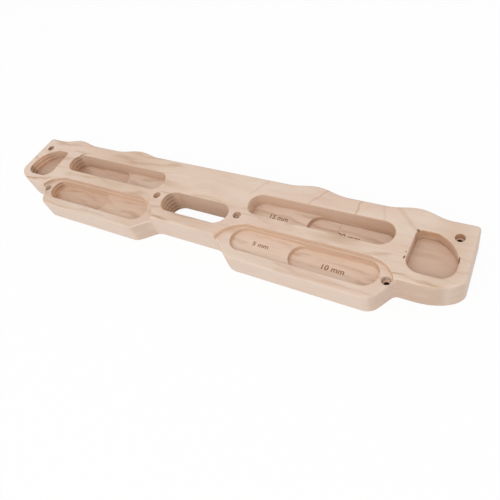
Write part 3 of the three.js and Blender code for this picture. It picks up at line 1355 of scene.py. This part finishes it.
@dataclass(frozen=True)
class EndGrainFinish:
    """End grain, strong on the slots' end walls and mild on their long ones.

    Attributes:
        bold_share: How much of it a long grain sheet shows on the end walls.
        cross_share: How much of it a cross grain sheet shows there.
        mild_share: How much of it a cross grain sheet shows on the long walls.
        line_reach: Half the width of the pale line in the middle of a cross grain sheet's edge.
        right_fade: How much weaker it is in the board's right half.
        foot_light: How light the end walls are at the bottom.
        top_drop: How much darker they are at the top.
    """

    bold_share: float = 0.9
    cross_share: float = 0.7
    mild_share: float = 0.14
    line_reach: float = 0.9
    right_fade: float = 0.85
    foot_light: float = 1.24
    top_drop: float = 0.52

    def share(self, at: Spot, grain: Grain) -> Term:
        """Gives how much end grain shows.

        Args:
            at: Where it is read.
            grain: Which way the sheet's fibres run.

        Returns:
            The share, from 0 to 1.
        """
        short = at.faces[0].rise(0.15, 0.6)
        shown = short * self.bold_share
        if grain is Grain.ACROSS:
            shown = short * self.cross_share + at.faces[1].rise(0.4, 0.95) * self.mild_share
        return shown * (1 - at.x.rise(15.0, 50.0) * self.right_fade)

    def shade(self, at: Spot) -> Term:
        """Darkens the end walls towards their tops.

        Args:
            at: Where it is read.

        Returns:
            The factor on their colour.
        """
        middle = abs(at.x).rise(50.0, 48.0)
        high = at.y.rise(-8.0, -4.0)
        outer = at.y.rise(6.0, 24.0) * high + at.y.rise(-34.0, -16.0) * (1 - high)
        return self.foot_light - (at.y.rise(-14.0, 2.0) * middle + outer * (1 - middle)) * self.top_drop

    def colour(self, at: Spot, grain: Grain, middle: float, seed: float) -> Socket:
        """Lays the colour of the end grain.

        Args:
            at: Where it is read.
            grain: Which way the sheet's fibres run.
            middle: The height of the sheet's middle.
            seed: What sets its figure apart.

        Returns:
            The colour.
        """
        colour = at.shader.mix(PORES.read(at, seed).rise(0.35, 0.7), TIMBER.end_light, TIMBER.end_dark)
        if grain is Grain.ACROSS:
            colour = at.shader.mix(at.z.near(middle, self.line_reach), colour, TIMBER.end_line)
        return at.shader.dimmed(colour, self.shade(at))


WALLS = WallFinish()
END_GRAIN = EndGrainFinish()


@dataclass
class VeneerFinish:
    """Makes the material of one sheet of veneer.

    Attributes:
        grain: Which way its fibres run.
        seed: What sets its figure apart from the other sheets'.
        glue_faces: The heights of its two glue lines.
        tone: How light and warm its bared face is.
        skinned: Whether a skin of the next sheet's long grain covers its bared face.
        figure: How strongly its growth lines show.
        tan_and_shade_places: Where it is tanner, and where painted shade darkens it.
        calm_patches: Where its growth lines are faint.
        line_pitch: How far apart its growth lines are.
        line_warp: How far broad warps bend them, in radians.
        line_sharpness: How narrow they are.
        line_share: How dark they are.
        hair_share: How dark the fine lines between them are.
        honey_share: How much of the honey colour shows.
        glue_reach: Half the width of a glue line.
        glue_shares: How dark glue lines are on end walls, on all walls inside the outline, and outside it.
    """

    grain: Grain
    seed: float
    glue_faces: Pair
    tone: Tone = Tone()
    skinned: bool = False
    figure: float = 1.0
    tan_and_shade_places: Sequence[Union[Patch, ShadedLand]] = ()
    calm_patches: Sequence[Patch] = ()
    line_pitch: float = 12.5664
    line_warp: float = 18.7
    line_sharpness: float = 2.5
    line_share: float = 0.5
    hair_share: float = 0.24
    honey_share: float = 0.6
    glue_reach: float = 0.2
    glue_shares: tuple[float, float, float] = (0.6, 0.16, 0.05)

    def material(self, name: str) -> bpy.types.Material:
        """Builds the sheet's material.

        Args:
            name: The material's name.

        Returns:
            The material.
        """
        shader = Shader(bpy.data.materials.new(name))
        at = Spot.of(shader)
        crossing = self.grain is Grain.ACROSS and not self.skinned
        along = replace(at, x=at.y, y=at.x) if crossing else at
        flat = at.faces[2].rise(0.4, 0.8)
        inside = WALLS.inside(at)
        ends = END_GRAIN.share(at, self.grain) * inside
        lines = self._growth_lines(at, along) * self.figure
        fibres = FIBRES.read(along, self.seed)
        end_glue, wall_glue, outer_glue = self.glue_shares
        glue = self._glue(at) * (1 - flat) * (inside * (at.faces[0] * end_glue + wall_glue) + outer_glue)
        middle = sum(self.glue_faces) / 2
        colour = shader.mix(lines, self._ground(at), TIMBER.late)
        colour = shader.mix(1.0, colour, self.tone.tint(at), "MULTIPLY")
        colour = shader.mix(flat, WALLS.colour(at, inside), colour)
        colour = shader.dimmed(colour, 1 - (fibres - 0.5) * TIMBER.fibre_shade)
        colour = shader.mix(ends, colour, END_GRAIN.colour(at, self.grain, middle, self.seed))
        colour = shader.mix(glue, colour, TIMBER.glue)
        ragged = RAGGED.read(at, self.seed) * 0.5
        colour = shader.mix(sum((knot.at(at, ragged) for knot in KNOT_SPOTS), 0.0), colour, TIMBER.knot)
        # painted shade darkens the shafts of the screw holes
        colour = shader.mix(self._hole_shade(at) * (1 - flat) * TIMBER.shaft_shade_share, colour, TIMBER.shaft_shade)
        fibre_relief, end_relief, glue_relief, line_relief = TIMBER.relief
        relief = fibres * (fibre_relief + ends * end_relief) + glue * glue_relief + lines * line_relief
        height = {"Strength": TIMBER.bump, "Distance": TIMBER.bump_height, "Height": relief}
        rough = TIMBER.roughness + (fibres - 0.5) * TIMBER.fibre_roughness + ends * TIMBER.end_roughness
        return shader.surface({
            "Base Color": colour,
            "Roughness": rough,
            "Normal": shader.node("ShaderNodeBump", {}, height).outputs[0],
            "Specular IOR Level": TIMBER.specular,
        })

    def _hole_shade(self, at: Spot) -> Term:
        """Paints shade into the shafts of the screw holes.

        Args:
            at: Where it is read.

        Returns:
            The painted shade's share, from 0 to 1.
        """
        shares = []
        for x, y in (END_HOLE, INNER_HOLE, LOBE_HOLE):
            aside = abs(at.x) - x
            up = at.y - y
            shares.append((aside * aside + up * up).rise(12.0, 8.5))
        return sum(shares, 0.0)

    def _ground(self, at: Spot) -> Socket:
        """Lays the ground colour, in broad drifts along the grain.

        Args:
            at: Where it is read.

        Returns:
            The ground colour.
        """
        mix = at.shader.mix
        colour = mix(DRIFT.read(at, self.seed).rise(0.38, 0.68), TIMBER.pale, TIMBER.rosy)
        colour = mix(TINT.read(at, self.seed).rise(0.45, 0.75) * self.honey_share, colour, TIMBER.honey)
        # tan patches of the wood, and on the lobes' sheet the painted shade of the land above the lower
        # slots
        return mix(sum((place.at(at) for place in self.tan_and_shade_places), 0.0), colour, TIMBER.tan)

    def _growth_lines(self, at: Spot, along: Spot) -> Term:
        """Draws the darker growth lines of the sheet.

        Args:
            at: Where they are read.
            along: The same, with x along the fibres and y across them.

        Returns:
            The lines' share, from 0 to 1.
        """
        phase = along.y * (math.tau / self.line_pitch) + (WARP.read(along, self.seed) - 0.5) * self.line_warp
        wave = phase.sine() * 0.5 + 0.5
        shown = BLOTCH.read(along, self.seed).rise(0.36, 0.64) * self.line_share
        lines = (wave ** self.line_sharpness) * shown
        hairs = HAIR.read(along, self.seed).rise(0.5, 0.72) * self.hair_share
        return (lines + hairs) * (1 - sum((patch.at(at) for patch in self.calm_patches), 0.0))

    def _glue(self, at: Spot) -> Term:
        """Draws the two glue lines that close the sheet, a little uneven."""
        low, high = (at.z.near(height, self.glue_reach) for height in self.glue_faces)
        return (low + high) * (UNEVEN.read(at, self.seed) * 0.25 + 0.8)


@dataclass
class FaceFinish(VeneerFinish):
    """The face veneer, whose figure has steep lines in the top margin.

    Attributes:
        margin_middle: How far up the board the top margin's middle is.
        lean: How far its level lines rise for each millimetre along the board.
        margin_calm: How much fainter its level lines are in the margin.
        low_boost: How much stronger they are at the bottom edge.
        wobble: How far the steep lines sway.
    """

    margin_middle: float = 35.0
    lean: float = 0.05
    margin_calm: float = 0.72
    low_boost: float = 0.5
    wobble: float = 5.0

    def _growth_lines(self, at: Spot, along: Spot) -> Term:
        """Draws the face's growth lines, with the five that cross the top margin.

        Args:
            at: Where they are read.
            along: The same, with x along the fibres and y across them.

        Returns:
            The lines' share, from 0 to 1.
        """
        plain = super()._growth_lines(at, replace(along, y=along.y - along.x * self.lean))
        shift = (WOBBLE.read(at, self.seed) - 0.5) * self.wobble
        risen = at.y - self.margin_middle
        steep = sum(((at.x - risen * line.lean + shift).near(line.foot, line.width) * line.strength
                     for line in STEEP_LINES), 0.0)
        calm = at.y.rise(4.0, 12.0) * at.x.rise(-60.0, -30.0) * self.margin_calm
        steep = steep * at.y.rise(20.0, 27.0) * at.faces[2].rise(0.2, 0.8)
        return plain * (1 - calm + at.y.rise(-18.0, -23.0) * self.low_boost) + steep


@dataclass(frozen=True)
class BurntFinish:
    """Scorched marks burnt into pale wood.

    Attributes:
        core: The colour in the middle of a stroke.
        edge: The colour where the burn is light.
        roughness: How rough it is.
        specular: How much it mirrors.
    """

    core: Colour = srgb(128, 86, 60)
    edge: Colour = srgb(176, 136, 106)
    roughness: float = 0.8
    specular: float = 0.2

    def material(self) -> bpy.types.Material:
        """Builds the material.

        Returns:
            The material.
        """
        shader = Shader(bpy.data.materials.new("burnt_mark"))
        at = Spot.of(shader)
        light = SCORCH.read(at) * 0.6 + SCORCH_STREAK.read(at) * 0.4
        colour = shader.mix(light.rise(0.4, 0.62), self.core, self.edge)
        return shader.surface({
            "Base Color": colour,
            "Roughness": self.roughness,
            "Specular IOR Level": self.specular,
        })


@dataclass
class DepthMark:
    """A slot's depth, burnt into its floor as a plain number.

    Attributes:
        words: What it says.
        left: Its left end.
        right: Its right end.
        bottom: Its foot.
        top: Its head.
        floor: The floor it is burnt into.
        body: How far it stands proud, so that it shows.
        weight: How much its strokes are thickened, as a share of the letters' size.
    """

    words: str
    left: float
    right: float
    bottom: float
    top: float
    floor: float
    body: float = 0.04
    weight: float = 0.022

    def build(self, name: str, material: bpy.types.Material) -> Solid:
        """Makes the mark as a thin mesh on its floor.

        Args:
            name: The piece's name.
            material: Its material.

        Returns:
            The piece.
        """
        curve = bpy.data.curves.new(name, "FONT")
        curve.body = self.words
        curve.extrude = self.body / 2
        curve.offset = self.weight
        curve.resolution_u = 4
        writer = placed(name + "_text", curve)
        depsgraph = bpy.context.evaluated_depsgraph_get()
        mesh = bpy.data.meshes.new_from_object(writer.evaluated_get(depsgraph))
        bpy.data.objects.remove(writer)
        low = Vector(map(min, *(v.co for v in mesh.vertices)))
        high = Vector(map(max, *(v.co for v in mesh.vertices)))
        size = high - low
        scale = ((self.right - self.left) / size.x, (self.top - self.bottom) / size.y, 1.0, 1.0)
        fitted = Matrix.Diagonal(scale)
        seated = Matrix.Translation((self.left, self.bottom, self.floor)) @ fitted @ Matrix.Translation(-low)
        mesh.transform(Matrix.Scale(MILLIMETRE, 4) @ seated)
        mesh.materials.clear()
        mesh.materials.append(material)
        piece = placed(name, mesh)
        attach(piece, "root")
        return piece


TONES = {
    "core_ply_04_left": Tone(0.88, 1.12, warm_left=0.6),
    "core_ply_04_right": Tone(1.08, 1.08),
    "core_ply_06": Tone(0.92, 1.06, 0.93, warm_left=0.9, warm_right=0.1, warm_high=0.1),
    "core_ply_07": Tone(0.73, 0.84, warm_left=0.9, warm_right=0.75),
    "core_ply_08": Tone(0.87, 1.0, warm_left=0.9, warm_right=0.1),
    "core_ply_10": Tone(0.96, 0.99),
}


@dataclass
class Laminate:
    """The shaped plank, parted into the veneers that it is glued from.

    Attributes:
        plank: The plank.
        seam: Where the bared veneer's two sheets meet.
        seam_gap: The hairline between them.
        bared_ply: The number of that veneer, from the back.
        pocket_ply: The number of the veneer under the end pockets' floors.
        lobe_ply: The number of the veneer that is the lobes' face.
        pocket_figure: How strong the growth lines of the pockets' floors are.
        lobe_figure: How strong those of the lobes' face are.
        seed_step: How far apart the sheets' figures are.
        sharp_angle: From which angle an edge is shaded sharp, in degrees.
    """

    plank: Plank = field(default_factory=Plank)
    seam: float = 150.0
    seam_gap: float = 0.16
    bared_ply: int = 4
    pocket_ply: int = 7
    lobe_ply: int = 10
    pocket_figure: float = 0.45
    lobe_figure: float = 0.7
    seed_step: float = 3.7
    sharp_angle: float = 32.0

    def features(self) -> list[Feature]:
        """Lists everything that is cut into the plank.

        Returns:
            The features, in the order in which they are cut.
        """
        plank = self.plank
        made: list[Feature] = [ThroughSlot()]
        for side in (1, -1):
            made += [
                LobeRecess(side),
                FingerSlot(side, 1.3, 27.3, plank.thickness, 15.0, 20.0, plank.face_rim),
                FingerSlot(side, -40.4, -13.3, plank.lobe_face, 5.0, 10.0, plank.lobe_rim),
                EndPocket(side),
                ScrewHole(side, END_HOLE, plank.thickness),
                ScrewHole(side, INNER_HOLE, plank.thickness),
                ScrewHole(side, LOBE_HOLE, plank.lobe_face),
            ]
        made += [
            Nick(Vector((-198.4, 27.7, 30.0)), Vector((4.3, 0.7, 1.4)), 28.0),
            Nick(Vector((221.9, -5.4, 29.9)), Vector((0.7, 1.7, 0.9)), -14.0),
            Nick(Vector((264.0, 4.0, 29.3)), Vector((0.6, 4.0, 1.1)), 11.0),
        ]
        return made

    def shaped(self) -> Solid:
        """Shapes the whole plank.

        Returns:
            The plank, in millimetres.
        """
        piece = self.plank.blank("shaped_plank", self.plank.thickness)
        tools = [tool for feature in self.features() for tool in feature.cutters(self.plank)]
        return work(piece, tools, Cut.REMOVE)

    def spans(self) -> list[tuple[str, int, float, float]]:
        """Lists the sheets.

        Returns:
            Each sheet's node, its veneer's number, and its ends along the board.
        """
        reach = self.plank.half_length + OVERRUN
        outer_names = {1: "back_veneer", self.plank.ply_count: "face_veneer"}
        listed = []
        for number in range(1, self.plank.ply_count + 1):
            name = outer_names.get(number, f"core_ply_{number:02d}")
            if number == self.bared_ply:
                listed.append((name + "_left", number, -reach, self.seam - self.seam_gap / 2))
                listed.append((name + "_right", number, self.seam + self.seam_gap / 2, reach))
            else:
                listed.append((name, number, -reach, reach))
        return listed

    def finish_for(self, node: str, number: int, seed: float) -> VeneerFinish:
        """Chooses a sheet's finish.

        Args:
            node: The sheet's node.
            number: The veneer's number, from the back.
            seed: What sets its figure apart.

        Returns:
            The finish.
        """
        grain = Grain.ALONG if (self.plank.ply_count - number) % 2 == 0 else Grain.ACROSS
        glue = ((number - 1) * self.plank.ply, number * self.plank.ply)
        tone = TONES.get(node, Tone())
        if number == self.plank.ply_count:
            return FaceFinish(grain, seed, glue, tone, tan_and_shade_places=FACE_TAN, calm_patches=FACE_CALM)
        if number == self.lobe_ply:
            # the lobes' sheet gets painted shade on its land
            return VeneerFinish(grain, seed, glue, tone, False, self.lobe_figure, (ShadedLand(),), LOBE_CALM)
        if number == self.pocket_ply:
            return VeneerFinish(grain, seed, glue, tone, True, self.pocket_figure)
        return VeneerFinish(grain, seed, glue, tone)

    def build(self) -> list[Solid]:
        """Makes every sheet and dresses it.

        Returns:
            The sheets.
        """
        whole = self.shaped()
        reach = self.plank.half_height + OVERRUN
        sheets = []
        for index, (node, number, start, end) in enumerate(self.spans()):
            sheet = placed(node + "_sheet", whole.data.copy())
            corners = [Vector(p) for p in ((start, -reach), (end, -reach), (end, reach), (start, reach))]
            saw = prism("saw", corners, (number - 1) * self.plank.ply, number * self.plank.ply)
            work(sheet, [saw], Cut.KEEP)
            finish = self.finish_for(node, number, self.seed_step * (index + 1))
            self._smooth(sheet)
            sheet.data.materials.clear()
            sheet.data.materials.append(finish.material(node + "_wood"))
            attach(sheet, "root")
            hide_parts(node)
            LOG.info("%s: %d faces", sheet.name, len(sheet.data.polygons))
            sheets.append(sheet)
        bpy.data.objects.remove(whole)
        return sheets

    def _smooth(self, sheet: Solid) -> None:
        """Scales a sheet to metres and shades its rounded walls smoothly.

        Args:
            sheet: The sheet.
        """
        mesh = sheet.data
        mesh.transform(Matrix.Scale(MILLIMETRE, 4))
        mesh.shade_smooth()
        mesh.set_sharp_from_angle(angle=math.radians(self.sharp_angle))
        weights = sheet.modifiers.new("even_shading", "WEIGHTED_NORMAL")
        weights.keep_sharp = True


@dataclass
class Studio:
    """The camera, the pale floor and the soft light.

    Attributes:
        camera_place: Where the camera stands, in millimetres.
        camera_turn: The camera's turns about X, Y and Z, in degrees.
        lens: Its focal length.
        sensor: The width of its sensor.
        floor_reach: Half the floor's width, in metres.
        floor_gap: How far the floor lies under the board, in metres.
        floor_colour: The floor's colour.
        floor_shadow_share: How much of the board's shadow the white floor keeps.
        key_place: Where the large lamp hangs, in metres.
        key_size: The lamp's width, in metres.
        key_power: Its power, in watts.
        sky: Strength of the even light from all round.
    """

    camera_place: tuple[float, float, float] = (308.2, -243.7, 392.5)
    camera_turn: tuple[float, float, float] = (37.163, 15.057, 28.388)
    lens: float = 36.0
    sensor: float = 36.0
    floor_reach: float = 4.0
    floor_gap: float = 0.0004
    floor_colour: Colour = srgb(247, 247, 247)
    floor_shadow_share: float = 0.06
    key_place: tuple[float, float, float] = (0.14, -1.4, 1.97)
    key_size: float = 2.2
    key_power: float = 24.0
    sky: float = 0.66

    def build(self) -> None:
        """Sets up the camera, the floor and the lights."""
        self._camera()
        self._floor()
        self._key()
        self._sky()
        bpy.context.scene.view_settings.view_transform = "Standard"

    def _camera(self) -> None:
        """Places the camera."""
        data = bpy.data.cameras.new("camera")
        data.lens = self.lens
        data.sensor_width = self.sensor
        camera = placed("camera", data)
        camera.location = Vector(self.camera_place) * MILLIMETRE
        camera.rotation_euler = [math.radians(turn) for turn in self.camera_turn]
        bpy.context.scene.camera = camera

    def _seen_directly(self, shader: Shader) -> Term:
        """Gives 1 where the camera, a mirror or a clear thing sees the surface.

        Args:
            shader: The shader that asks.

        Returns:
            The share.
        """
        path = shader.node("ShaderNodeLightPath", {}, {})
        names = ("Is Camera Ray", "Is Glossy Ray", "Is Transmission Ray")
        camera, glossy, transmission = (Term(shader, path.outputs[name]) for name in names)
        return camera.larger(glossy).larger(transmission)

    def _floor(self) -> None:
        """Lays the pale floor, which looks white but keeps a trace of the board's shadow."""
        shape = bmesh.new()
        bmesh.ops.create_grid(shape, x_segments=1, y_segments=1, size=self.floor_reach)
        bmesh.ops.translate(shape, verts=shape.verts, vec=(0.0, 0.0, -self.floor_gap))
        floor = solid("floor", shape)
        shader = Shader(bpy.data.materials.new("pale_floor"))
        matt = shader.node("ShaderNodeBsdfDiffuse", {}, {"Color": self.floor_colour})
        glow = shader.node("ShaderNodeEmission", {}, {"Color": WHITE, "Strength": 1.0})
        share = self._seen_directly(shader) * (1 - self.floor_shadow_share)
        mixed = shader.node("ShaderNodeMixShader", {}, {0: share, 1: matt.outputs[0], 2: glow.outputs[0]})
        shader.node("ShaderNodeOutputMaterial", {}, {"Surface": mixed.outputs[0]})
        floor.data.materials.append(shader.owner)

    def _key(self) -> None:
        """Hangs the large soft lamp in front of the board's lower edge."""
        data = bpy.data.lights.new("key", "AREA")
        data.size = self.key_size
        data.energy = self.key_power
        lamp = placed("key", data)
        lamp.location = self.key_place
        lamp.rotation_euler = (-Vector(self.key_place)).to_track_quat("-Z", "Y").to_euler()

    def _sky(self) -> None:
        """Lights the board evenly from all round, in front of a white background."""
        world = bpy.data.worlds.new("studio")
        bpy.context.scene.world = world
        shader = Shader(world)
        seen = self._seen_directly(shader)
        strength = seen * (1 - self.sky) + self.sky
        ground = shader.node("ShaderNodeBackground", {}, {"Color": WHITE, "Strength": strength})
        shader.node("ShaderNodeOutputWorld", {}, {"Surface": ground.outputs[0]})


MARKS = {
    "mark_15": DepthMark("15 mm", 78.3, 98.6, 10.9, 16.4, 15.0),
    "mark_20": DepthMark("20 mm", 150.4, 173.4, 11.2, 16.8, 10.0),
    "mark_5": DepthMark("5 mm", 79.8, 97.5, -28.3, -23.6, 20.0),
    "mark_10": DepthMark("10 mm", 152.9, 175.2, -30.1, -24.5, 15.0),
}


def main() -> None:
    """Builds the board, its marks and the studio, and reports each piece."""
    logging.basicConfig(level=logging.INFO, format="%(message)s")
    Laminate().build()
    burnt = BurntFinish().material()
    for name, mark in MARKS.items():
        piece = mark.build(name, burnt)
        LOG.info("%s: %d faces", piece.name, len(piece.data.polygons))
    Studio().build()


if __name__ == "__main__":
    main()
